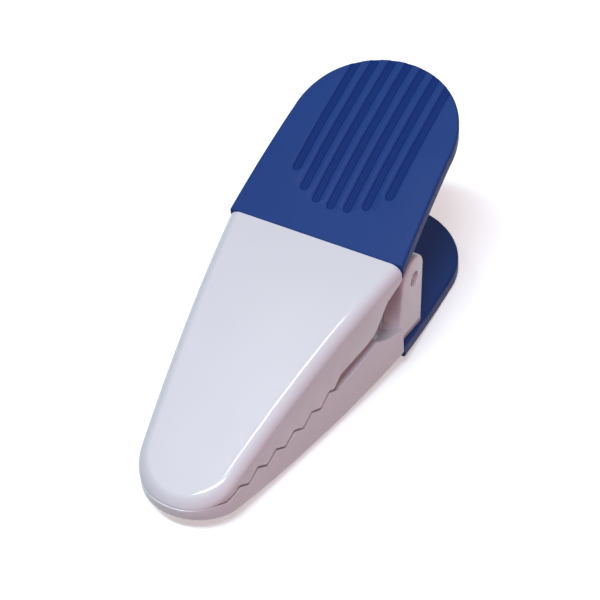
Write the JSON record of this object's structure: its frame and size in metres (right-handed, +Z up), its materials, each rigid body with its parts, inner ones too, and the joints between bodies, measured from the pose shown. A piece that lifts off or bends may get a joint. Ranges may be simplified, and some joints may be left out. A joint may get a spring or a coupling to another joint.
{
  "type": "bag clip",
  "caption": "Wide sprung bag clip: wedge-shaped white jaws with meshing saw-tooth edges and blue grooved grips, hinged on a cross pin.",
  "frame": {"origin": "centre of the bounding box in plan, at the level of the surface the clip lies on", "axes": "+X from the jaws' nose towards the handles, +Y along the pivot pin, +Z up; the clip lies on its lower lever, so its long axis is tipped about ten degrees nose down"},
  "size_m": [0.1106, 0.0392, 0.0472],
  "materials": {
    "white_jaw_plastic": "glossy moulded white plastic",
    "blue_grip_plastic": "satin moulded blue plastic",
    "spring_steel": "plain drawn steel"
  },
  "bodies": {
    "lower_lever": {"lower_jaw": "white_jaw_plastic", "lower_grip": "blue_grip_plastic", "pivot_pin": "spring_steel", "torsion_spring": "spring_steel"},
    "upper_lever": {"upper_jaw": "white_jaw_plastic", "upper_grip": "blue_grip_plastic"}
  },
  "joints": [
    {"name": "jaw_hinge", "type": "hinge", "parent": "lower_lever", "child": "upper_lever", "pos_m": [0.01321, 0, 0.02047], "axis": [0, 1, 0], "range_deg": [0, 56], "stiffness_Nm_per_rad": 0.85, "springref_deg": -26.93, "deforming": ["torsion_spring"]}
  ]
}
